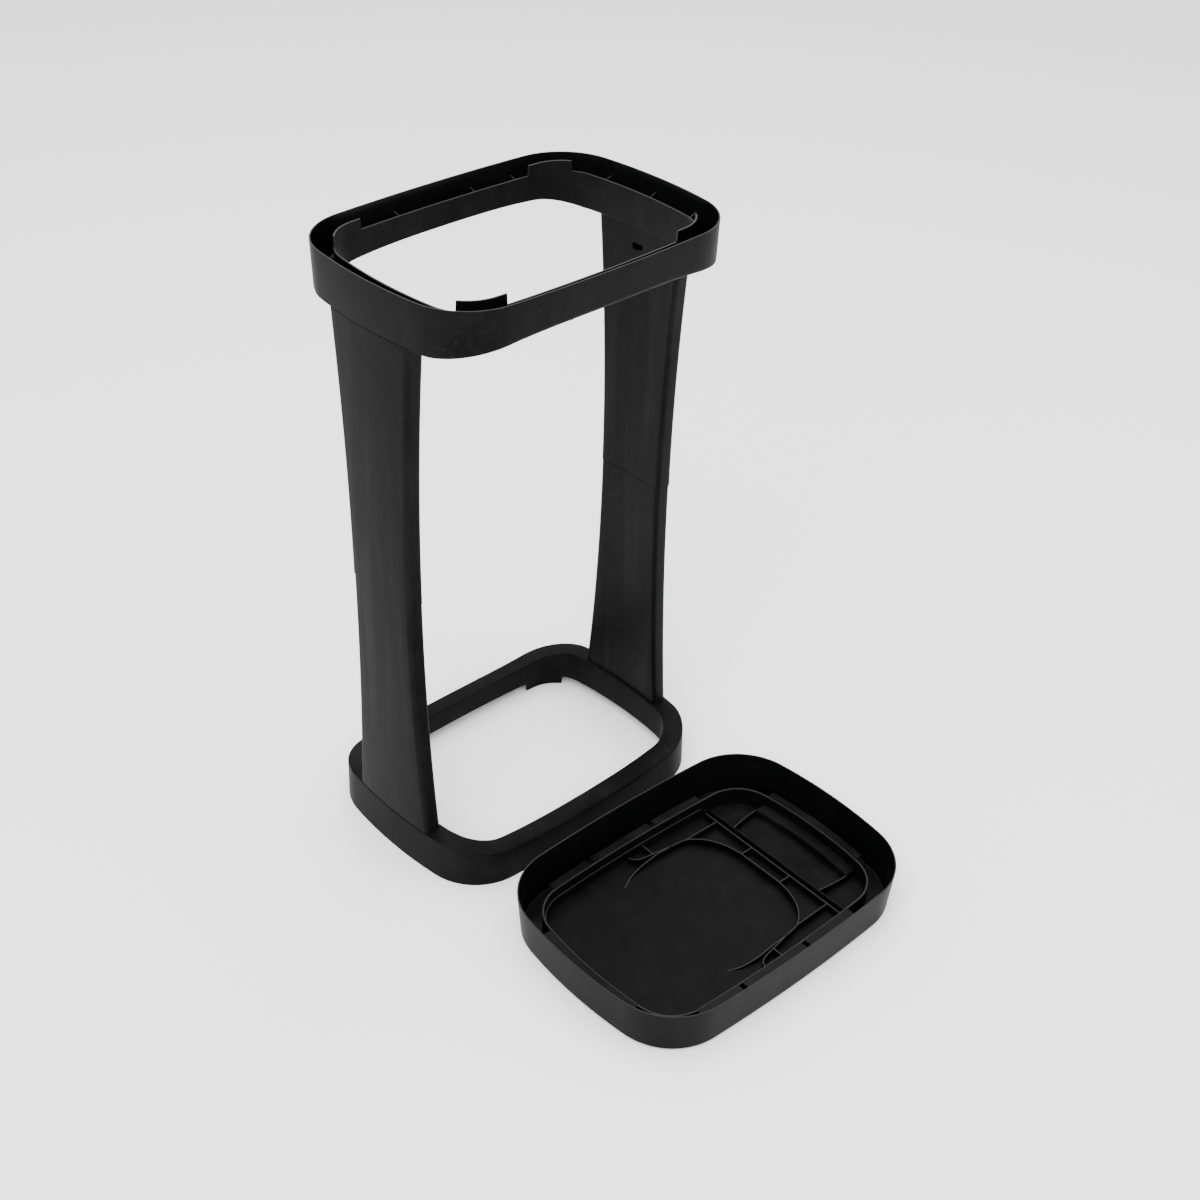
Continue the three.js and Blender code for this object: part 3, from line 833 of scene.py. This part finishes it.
@dataclass
class LegHalf:
    """A hollow, waisted sleeve standing on its wide end at z = 0, for the +X side."""

    outline: Outline
    length: float
    end_width: float = 128 * MM
    waist_width: float = 98 * MM
    depth: float = 21 * MM
    wall: float = 2.4 * MM
    edge_radius: float = 5.5 * MM
    sink: float = 1.6 * MM
    window_from_end: float = 23 * MM
    window_width: float = 16 * MM
    window_height: float = 8 * MM
    window_shift: float = 4 * MM
    window_sink: float = 2 * MM
    proud: float = 0.0
    rows: int = 22
    round_steps: int = 6
    least_radius: float = 1 * MM
    back_above: tuple[float, ...] = (0.75, 0.5)
    back_below: tuple[float, ...] = (-0.25, -0.6)

    def half(self, z: float) -> float:
        """Half the leg's width at a height."""
        to_waist = 1 - min(z, self.length) / self.length
        return self.waist_width / 2 + (self.end_width - self.waist_width) / 2 * to_waist ** 2

    def _loop(self, z: float, inset: float) -> Loop:
        """The leg's outline at a height.

        Args:
            z: The height.
            inset: How far it is drawn in.

        Returns:
            Its points.
        """
        grow = self.proud * max(0.0, z / self.length) ** 2
        half = self.half(z) - inset + grow
        radius = max(self.edge_radius - inset, self.least_radius)
        outer, inner = inset - grow, self.depth - inset
        low = self.window_shift - self.window_width / 2
        high = self.window_shift + self.window_width / 2
        reach = half - radius
        front = [(outer, reach * (i / 5 - 1)) for i in range(1, 10)]
        above = [reach * part for part in self.back_above]
        below = [reach * part for part in self.back_below]
        back = [(inner, y) for y in (*above, high, low, *below)]
        steps = self.round_steps
        points = [
            *front, *arc((outer + radius, reach), radius, 180, 90, steps),
            *arc((inner - radius, reach), radius, 90, 0, steps), *back,
            *arc((inner - radius, -reach), radius, 0, -90, steps),
            *arc((outer + radius, -reach), radius, -90, -180, steps),
        ]
        return [Vector((self.outline.end_at(y) - self.sink - x, y, z)) for x, y in points]

    def build(self, piece: Piece, place: Matrix) -> bpy.types.Object:
        """Builds the leg half.

        Args:
            piece: What it is in the frame.
            place: Where it goes.

        Returns:
            The object.
        """
        bm = bmesh.new()
        low = self.window_from_end - self.window_height / 2
        high = self.window_from_end + self.window_height / 2
        heights = sorted({self.length * i / self.rows for i in range(self.rows + 1)} | {low, high})
        outside = [self._loop(z, 0.0) for z in heights]
        inside = [self._loop(z, self.wall) for z in reversed(heights)]
        skins = [Skin.GRAINED] * (len(outside) - 1) + [Skin.POLISHED] * (len(inside) + 1)
        wrap(bm, [*outside, *inside], skins)
        self._window(bm, low, high)
        return piece.finish(bm, place)

    def _window(self, bm: BMesh, low: float, high: float) -> None:
        """Sinks the snap's window into the inner face, whose own face stays over it.

        Args:
            bm: The mesh.
            low: The window's lower edge.
            high: Its upper edge.
        """
        left = self.window_shift - self.window_width / 2 - TINY
        right = self.window_shift + self.window_width / 2 + TINY
        inner = self.outline.end_at(0.0) - self.sink - self.depth + self.wall / 2
        faces = [face for face in bm.faces
                 if all(left < v.co.y < right and low - TINY < v.co.z < high + TINY and v.co.x < inner
                        for v in face.verts)]
        made = bmesh.ops.extrude_face_region(bm, geom=faces)["geom"]
        for item in made:
            if isinstance(item, bmesh.types.BMVert):
                item.co.x += self.window_sink
            elif isinstance(item, bmesh.types.BMFace):
                item.material_index = Skin.POLISHED.value


# ---- lid ----


@dataclass
class LidSizes:
    """What the lid's two pieces share, measured up from the outer face that lies on the floor."""

    outline: Outline
    rim: float
    overhang: float = 7.4 * MM
    panel_step: float = 1 * MM
    draft: float = 4 * MM
    wall: float = 2.2 * MM
    round: float = 4 * MM
    rim_taper: float = 0.7
    inner_face: float = 21.1 * MM
    inner_top: float = 25.5 * MM
    hinge_x: float = 109.5 * MM
    barrel: float = 3 * MM
    pin: float = 1.6 * MM
    pin_length: float = 3 * MM
    boss_length: float = 4.5 * MM
    boss_half: float = 5 * MM
    gap: float = 0.8 * MM
    panel: float = 2.2 * MM
    rib: float = 1.6 * MM
    rib_top: float = 11 * MM
    below_ribs: float = 0.1 * MM
    flap_rim_top: float = 15 * MM
    curve_steps: int = 6

    @property
    def inner_back(self) -> float:
        """Inset of the inner wall's face that looks at the flap."""
        return self.inner_face + self.wall

    @property
    def rear_edge(self) -> float:
        """X of the rear panel's edge beside the hinge barrel."""
        return self.hinge_x + self.barrel + self.gap

    @property
    def boss_inner(self) -> float:
        """Y of the hinge bosses' ends."""
        return self.outline.half_width_at(self.hinge_x, self.inner_back) - self.boss_length


@dataclass
class LidFrame:
    """The lid's skirt, flange, inner wall with its ledges, rear panel and hinge rib."""

    sizes: LidSizes
    ledge_width: float = 10 * MM
    ledge_thick: float = 2 * MM
    long_ledges: tuple[Corner, ...] = ((-130 * MM, -71 * MM), (-65 * MM, 27 * MM), (33 * MM, 106 * MM))
    short_ledges: tuple[Corner, ...] = ((-72 * MM, 72 * MM),)
    box_half: float = 74 * MM
    shelf_inset: float = 38 * MM
    shelf_top: float = 12 * MM
    box_shift: float = 5 * MM
    box_bow: float = 1.5 * MM
    round_steps: int = 6
    fillet_steps: int = 4
    strip_steps: int = 8
    shelf_steps: int = 24
    rear_steps: int = 60

    def build(self, piece: Piece, place: Matrix) -> bpy.types.Object:
        """Builds the frame.

        Args:
            piece: What it is in the frame.
            place: Where it goes.

        Returns:
            The object.
        """
        bm = bmesh.new()
        turns = self.sizes.outline.turns()
        section = self._section()
        wrap(bm, [self.sizes.outline.loop(turns, inset, z) for inset, z, _ in section],
             [skin for _, _, skin in section])
        self._ledges(bm)
        self._rear(bm)
        return piece.finish(bm, place)

    def _section(self) -> list[tuple[float, float, Skin]]:
        """The section's corners, each with the skin of what follows.

        Returns:
            Inset, height and skin of each corner.
        """
        s = self.sizes
        low = -s.overhang + s.draft
        middle = (low + s.round, s.panel_step + s.round)
        bottom = arc(middle, s.round, 180, 270, self.round_steps)
        channel = arc(middle, s.round - s.wall, 270, 180, self.fillet_steps)
        return [
            (-s.overhang, s.rim, Skin.GRAINED),
            *[(inset, z, Skin.GRAINED) for inset, z in bottom],
            (s.inner_face - s.wall, s.panel_step, Skin.GRAINED),
            (s.inner_face, 0.0, Skin.GRAINED),
            (s.inner_back, 0.0, Skin.POLISHED),
            (s.inner_back, s.inner_top, Skin.EDGE),
            (s.inner_face, s.inner_top, Skin.POLISHED),
            (s.inner_face, s.panel_step + s.wall, Skin.POLISHED),
            *[(inset, z, Skin.POLISHED) for inset, z in channel],
            (-s.overhang + s.wall * s.rim_taper, s.rim, Skin.EDGE),
        ]

    def _ledges(self, bm: BMesh) -> None:
        """Adds the ledge strips outside the inner wall's top, the far ones grained and the near ones in
        the darker polished skin as painted shade.

        Args:
            bm: The mesh.
        """
        s = self.sizes
        insets = (s.inner_face + s.wall / 2, s.inner_face - self.ledge_width)
        low, high = s.inner_top - self.ledge_thick, s.inner_top
        # Near ledges (side -1) get the darker polished skin, as painted shade from the skirt; the far
        # ones (side 1) stay grained, so they read lighter.
        for start, end in self.long_ledges:
            for side in (1, -1):
                rows = [[(x, side * s.outline.half_width_at(x, inset)) for inset in insets]
                        for x in self._spread(start, end)]
                self._strip(bm, rows, low, high, Skin.GRAINED if side > 0 else Skin.POLISHED)
        for start, end in self.short_ledges:
            for side in (1, -1):
                rows = [[(side * s.outline.end_at(y, inset), y) for inset in insets]
                        for y in self._spread(start, end)]
                self._strip(bm, rows, low, high, Skin.GRAINED if side > 0 else Skin.POLISHED)

    def _spread(self, start: float, end: float) -> list[float]:
        """A ledge's cross rows, evenly spread from one end to the other."""
        return [start + (end - start) * i / self.strip_steps for i in range(self.strip_steps + 1)]

    @staticmethod
    def _strip(bm: BMesh, rows: Sequence[Sequence[Corner]], low: float, high: float,
               skin: Skin = Skin.GRAINED) -> None:
        """Adds a flat strip.

        Args:
            bm: The mesh.
            rows: Its cross rows, each a point on its inner edge and one on its outer edge.
            low: Its lower face's height.
            high: Its upper face's height.
            skin: The skin of its faces.
        """
        loft(bm, [[Vector((*a, low)), Vector((*b, low)), Vector((*b, high)), Vector((*a, high))]
                  for a, b in rows], skin)

    def _rear(self, bm: BMesh) -> None:
        """Adds the panel behind the hinge, its ribbed box and shelf, the hinge rib and the bosses.

        Args:
            bm: The mesh.
        """
        s = self.sizes
        inset = s.inner_back - s.gap
        turn = s.outline.turn_at(s.rear_edge, inset)
        steps = self.rear_steps
        outline = [s.outline.point(turn * (2 * i / steps - 1), inset) for i in range(steps + 1)]
        slab(bm, outline, 0.0, s.panel)
        half = s.outline.half_width_at(s.rear_edge, s.inner_back) + s.gap
        box(bm, (s.rear_edge, -half, 0.0), (s.rear_edge + s.rib, half, s.rib_top), Skin.POLISHED)
        low = s.hinge_x - s.boss_half
        for y0, y1 in ((s.boss_inner, half), (-half, -s.boss_inner)):
            high = (s.rear_edge + s.rib / 2, y1, s.rib_top - s.below_ribs)
            box(bm, (low, y0, 0.0), high, Skin.POLISHED)
        self._shelf(bm)

    def _shelf(self, bm: BMesh) -> None:
        """Adds the shelf inside the short side's wall, its front wall and the box's two sides.

        Args:
            bm: The mesh.
        """
        s = self.sizes
        places = [self.box_half * (2 * i / self.shelf_steps - 1) for i in range(self.shelf_steps + 1)]
        low = self.shelf_top - s.rib
        rows = [[(s.outline.end_at(y, inset), y) for inset in (self.shelf_inset, s.inner_back - s.gap)]
                for y in places]
        self._strip(bm, rows, low, self.shelf_top)
        front = flat([(s.outline.end_at(y, self.shelf_inset - s.rib / 2), y) for y in places])
        tops = [self.shelf_top - s.below_ribs] * len(front)
        wall(bm, front, s.rib, s.panel / 2, tops, Skin.GRAINED)
        for side in (1, -1):
            end = front[-1 if side > 0 else 0]
            middle = ((s.rear_edge + end.x) / 2, side * (self.box_half - self.box_bow))
            start = (s.rear_edge, side * (self.box_half - self.box_shift))
            line = curve([start, middle, (end.x, end.y)], s.curve_steps)
            wall(bm, line, s.rib, s.panel / 2, [s.rib_top] * len(line))


@dataclass
class LidFlap:
    """The lid's flap: panel, bowed rib, cross ribs, finger grip and the hinge barrel with its pins."""

    sizes: LidSizes
    hinge_rib_offset: float = 3.4 * MM
    side_rib: float = 90 * MM
    cross_rib: float = 31 * MM
    bow: float = 89 * MM
    grip: float = -141 * MM
    grip_half: float = 71 * MM
    grip_radius: float = 25 * MM
    grip_rise: float = 1.4 * MM
    grip_line: float = 1.1 * MM
    grip_line_rise: float = 0.2 * MM
    grip_angle: float = 80.0
    grip_steps: int = 10
    edge_steps: int = 30
    rim_set_back: float = 0.1 * MM
    rim_steps: int = 240
    taper_from: float = -50 * MM
    taper_length: float = 60 * MM
    shoulder: Corner = (54 * MM, 91 * MM)
    web_x: float = 8 * MM
    web_from: float = 97 * MM
    barrel_sides: int = 32
    bow_line: tuple[Corner, ...] = ((-50, 84), (-34, 91), (-14, 94.5), (10, 95), (35, 94), (54, 91),
                                    (66, 83), (77, 70), (85, 52), (89, 31))
    hook_line: tuple[Corner, ...] = ((35, 94), (12, 98), (-6, 101), (-15, 105), (-19, 112))

    def build(self, piece: Piece, place: Matrix) -> bpy.types.Object:
        """Builds the flap.

        Args:
            piece: What it is in the frame.
            place: Where it goes.

        Returns:
            The object.
        """
        bm = bmesh.new()
        self._panel(bm)
        self._ribs(bm)
        self._barrel(bm)
        return piece.finish(bm, place)

    def _panel(self, bm: BMesh) -> None:
        """Adds the panel with its upstanding rim, and the grip pad.

        Args:
            bm: The mesh.
        """
        s = self.sizes
        inset = s.inner_back + s.gap
        clear = s.hinge_x - s.boss_half - s.gap
        turn = s.outline.turn_at(clear, inset)
        turns = [turn + (math.tau - 2 * turn) * i / self.rim_steps for i in range(self.rim_steps + 1)]
        outline = [s.outline.point(t, inset) for t in turns]
        reach = s.boss_inner - s.gap
        tongue = [(clear, -reach), (s.hinge_x, -reach), (s.hinge_x, reach), (clear, reach)]
        slab(bm, [*outline, *flat(tongue)], 0.0, s.panel)
        rim = [s.outline.point(t, inset + s.rib / 2 + self.rim_set_back) for t in turns]
        wall(bm, rim, s.rib, s.panel / 2, [s.flap_rim_top] * len(rim))
        self._grip(bm, inset + s.rib / 2)

    def _grip(self, bm: BMesh, inset: float) -> None:
        """Adds the grip's raised pad at the flap's free end, with a fine line round it.

        Args:
            bm: The mesh.
            inset: How far the pad's outer edge is drawn in.
        """
        s = self.sizes
        centre = self.grip - self.grip_radius
        middle = self.grip_half - self.grip_radius
        side = flat(arc((centre, middle), self.grip_radius, self.grip_angle, 0, self.grip_steps))
        side = [p for p in side if abs(p.y) < s.outline.half_width_at(p.x, inset)]
        border = [*side, *[Vector((p.x, -p.y, 0.0)) for p in reversed(side)]]
        far = s.outline.end_at(0.0, inset)
        low = s.outline.turn_at(-side[0].x, inset)
        edge = [s.outline.point(math.pi - low + 2 * low * i / self.edge_steps, inset)
                for i in range(self.edge_steps + 1)]
        shape = [*border, *[p for p in reversed(edge) if p.x > -far - s.gap]]
        top = s.panel + self.grip_rise
        slab(bm, shape, s.panel / 2, top)
        tops = [top + self.grip_line_rise] * len(border)
        # The line's top keeps the darker polished skin instead of the lighter edge skin, so it draws a
        # dark line round the pad: painted shade of the groove there.
        wall(bm, border, self.grip_line, s.panel / 2, tops, top_skin=Skin.POLISHED)

    def _ribs(self, bm: BMesh) -> None:
        """Adds the bowed rib with its tapering ends, and the ribs towards the hinge.

        Args:
            bm: The mesh.
        """
        s = self.sizes
        foot = s.panel / 2
        for side in (1, -1):
            line = self._sketch(self.bow_line, side)
            tops = [s.panel + (s.rib_top - s.panel) * self._taper(p.x) for p in line]
            wall(bm, line, s.rib, foot, tops)
            hook = self._sketch(self.hook_line, side)
            wall(bm, hook, s.rib, foot, [s.rib_top] * len(hook))
            edge = s.outline.half_width_at(self.web_x, s.inner_back + s.gap)
            web = flat([(self.web_x, side * y) for y in (self.web_from, edge - s.rib / 2)])
            wall(bm, web, s.rib, foot, [s.rib_top] * 2)
        rib_x = s.hinge_x - self.hinge_rib_offset
        reach = s.boss_inner - s.gap - s.rib
        shoulder_x, shoulder_y = self.shoulder
        straight = [
            ((rib_x, -reach), (rib_x, reach)),
            ((self.bow, -self.cross_rib), (self.bow, self.cross_rib)),
            *[((self.bow, side * self.cross_rib), (rib_x, side * self.cross_rib)) for side in (1, -1)],
            *[((shoulder_x, side * shoulder_y), (rib_x, side * self.side_rib)) for side in (1, -1)],
        ]
        for ends in straight:
            wall(bm, flat(ends), s.rib, foot, [s.rib_top] * 2)

    def _sketch(self, points: Sequence[Corner], side: int) -> Loop:
        """A smooth rib line through points in millimetres, on one side of the flap."""
        return curve([(x * MM, side * y * MM) for x, y in points], self.sizes.curve_steps)

    def _taper(self, x: float) -> float:
        """The bowed rib's height at a place along X, from 0 at its ends to 1."""
        return min(1.0, max(0.0, (x - self.taper_from) / self.taper_length))

    def _barrel(self, bm: BMesh) -> None:
        """Adds the hinge barrel and the pin at each end of it.

        Args:
            bm: The mesh.
        """
        s = self.sizes
        half = s.boss_inner - s.gap
        lie = Matrix.Translation((s.hinge_x, 0.0, s.barrel)) @ Matrix.Rotation(math.pi / 2, 4, "X")
        for radius, reach in ((s.barrel, half), (s.pin, half + s.gap + s.pin_length)):
            bmesh.ops.create_cone(bm, cap_ends=True, segments=self.barrel_sides, radius1=radius,
                                  radius2=radius, depth=2 * reach, matrix=lie)


# ---- studio ----


@dataclass(frozen=True)
class Lamp:
    """A square soft light: its place, size and power."""

    name: str
    place: tuple[float, float, float]
    size: float
    power: float

    def add(self, aim: Vector) -> None:
        """Adds the light to the scene.

        Args:
            aim: What it looks at.
        """
        data = bpy.data.lights.new(self.name, "AREA")
        data.shape = "SQUARE"
        data.size = self.size
        data.energy = self.power
        lamp = bpy.data.objects.new(self.name, data)
        look = (aim - Vector(self.place)).to_track_quat("-Z", "Y").to_matrix().to_4x4()
        lamp.matrix_world = Matrix.Translation(self.place) @ look
        bpy.context.scene.collection.objects.link(lamp)


@dataclass
class Studio:
    """The floor, the soft light and the camera."""

    stand_centre: Vector
    eye_offset: tuple[float, float, float] = (-1.0903, -1.2579, 1.4409)
    azimuth: float = -43.66
    elevation: float = 35.19
    roll: float = 1.62
    lens: float = 52.0
    shift: tuple[float, float] = (0.0117, -0.0013)
    sensor: float = 36.0
    sight: float = 60.0
    floor_size: float = 14.0
    floor_drop: float = 0.5 * MM
    lamps: tuple[Lamp, ...] = (
        Lamp("key", (-1.9, -0.9, 2.6), 2.2, 120.0),
        Lamp("fill", (1.2, -2.6, 1.7), 2.4, 54.0),
        Lamp("top", (0.4, 0.8, 3.0), 2.4, 70.0),
    )
    lamp_aim: tuple[float, float, float] = (0.0, 0.0, 0.3)
    sky_strength: float = 1.8

    def build(self) -> None:
        """Builds all of it."""
        self._camera()
        self._floor()
        for lamp in self.lamps:
            lamp.add(Vector(self.lamp_aim))
        world = bpy.data.worlds.new("studio")
        world.use_nodes = True
        sky = world.node_tree.nodes["Background"]
        sky.inputs["Color"].default_value = (1.0, 1.0, 1.0, 1.0)
        sky.inputs["Strength"].default_value = self.sky_strength
        bpy.context.scene.world = world

    def _camera(self) -> None:
        """Adds the camera, turned by azimuth, elevation and roll."""
        az, el, roll = (math.radians(a) for a in (self.azimuth, self.elevation, self.roll))
        back = Vector((math.sin(az) * math.cos(el), -math.cos(az) * math.cos(el), math.sin(el)))
        right = Vector((math.cos(az), math.sin(az), 0.0))
        up = back.cross(right)
        across = right * math.cos(roll) + up * math.sin(roll)
        above = up * math.cos(roll) - right * math.sin(roll)
        data = bpy.data.cameras.new("camera")
        data.lens = self.lens
        data.sensor_width = self.sensor
        data.shift_x, data.shift_y = self.shift
        data.clip_end = self.sight
        camera = bpy.data.objects.new("camera", data)
        turn = Matrix((across, above, back)).transposed().to_4x4()
        eye = self.stand_centre + Vector(self.eye_offset)
        camera.matrix_world = Matrix.Translation(eye) @ turn
        bpy.context.scene.collection.objects.link(camera)
        bpy.context.scene.camera = camera

    def _floor(self) -> None:
        """Adds a pale floor just below everything."""
        bm = bmesh.new()
        bmesh.ops.create_grid(bm, x_segments=1, y_segments=1, size=self.floor_size)
        bmesh.ops.translate(bm, vec=(0.0, 0.0, CAD_BOX[0][2] - self.floor_drop), verts=bm.verts)
        mesh = bpy.data.meshes.new("floor")
        bm.to_mesh(mesh)
        bm.free()
        floor = bpy.data.objects.new("floor", mesh)
        bpy.context.scene.collection.objects.link(floor)
        material = bpy.data.materials.new("pale_floor")
        graph = Graph(material)
        shader = graph.node("ShaderNodeBsdfPrincipled", None, {
            "Base Color": (0.93, 0.93, 0.93, 1.0), "Roughness": 0.7, "Specular IOR Level": 0.2})
        graph.node("ShaderNodeOutputMaterial", None, {"Surface": shader.outputs["BSDF"]})
        mesh.materials.append(material)


# ---- the whole object ----


@dataclass
class SackStand:
    """The stand and its lid, placed from the frame."""

    finishes: Finishes = field(default_factory=Finishes)
    seam: float = 0.5 * MM
    upper_proud: float = 0.7 * MM

    def __post_init__(self) -> None:
        """Reads the sizes and places that the frame holds."""
        low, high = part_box("top_ring")
        self.centre = Vector(((low.x + high.x) / 2, (low.y + high.y) / 2, 0.0))
        self.height = high.z
        self.outline = Outline((high.x - low.x) / 2, (high.y - low.y) / 2)
        self.ring = ChannelRing(self.outline)
        lid_low, lid_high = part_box("lid_frame")
        axis = next(j["axis"] for j in frame["joints"] if j["name"] == "flap_hinge")
        turn = math.atan2(axis[0], -axis[1])
        lid_centre = ((lid_low.x + lid_high.x) / 2, (lid_low.y + lid_high.y) / 2, 0.0)
        self.lid_place = Matrix.Translation(lid_centre) @ Matrix.Rotation(turn, 4, "Z")
        self.lid = LidSizes(self.outline, lid_high.z)

    def build(self) -> None:
        """Builds every piece in order."""
        made = {name: getattr(self.finishes, name).make()
                for name in ("ring", "leg", "lid", "panel", "polished", "edge")}
        self._rings(made)
        self._legs(made)
        lid = Piece("lid_frame", "lid", "lid_plastic", [made["lid"], made["polished"], made["edge"]])
        LidFrame(self.lid).build(lid, self.lid_place)
        flap = Piece("lid_flap", "flap", "flap_plastic", [made["panel"], made["polished"], made["edge"]])
        LidFlap(self.lid).build(flap, self.lid_place)

    def _rings(self, made: dict[str, bpy.types.Material]) -> None:
        """Builds the two rings, the base ring being the top ring turned over.

        Args:
            made: The materials by name.
        """
        at = Matrix.Translation(self.centre)
        turned = at @ Matrix.Rotation(math.pi, 4, "X")
        raised = Matrix.Translation((0.0, 0.0, self.height)) @ at
        for node, place in (("top_ring", raised), ("base_ring", turned)):
            piece = Piece(node, "stand", "ring_plastic", [made["ring"], made["polished"], made["edge"]])
            self.ring.build(piece, place)

    def _legs(self, made: dict[str, bpy.types.Material]) -> None:
        """Builds the four leg halves, each upper one being a lower one turned over.

        Args:
            made: The materials by name.
        """
        length = self.height / 2 - self.ring.end_height - 1.5 * self.seam
        low = self.ring.end_height + self.seam
        at = Matrix.Translation(self.centre)
        for side, turn in (("right", 0.0), ("left", math.pi)):
            about = at @ Matrix.Rotation(turn, 4, "Z")
            lower = about @ Matrix.Translation((0.0, 0.0, low))
            raised = about @ Matrix.Translation((0.0, 0.0, self.height - low))
            upper = raised @ Matrix.Rotation(math.pi, 4, "X")
            for half, place in ((Half.LOWER, lower), (Half.UPPER, upper)):
                leg = LegHalf(self.outline, length)
                if half is Half.UPPER:
                    leg.proud = self.upper_proud
                    leg.window_shift = -leg.window_shift
                piece = Piece(f"{side}_leg_{half.value}", "stand", "leg_plastic",
                              [made["leg"], made["polished"], made["edge"]])
                leg.build(piece, place)


def main() -> None:
    """Builds the studio and the stand."""
    logging.basicConfig(level=logging.INFO, format="%(name)s: %(message)s")
    stand = SackStand()
    Studio(stand.centre).build()
    stand.build()


if __name__ == "__main__":
    main()
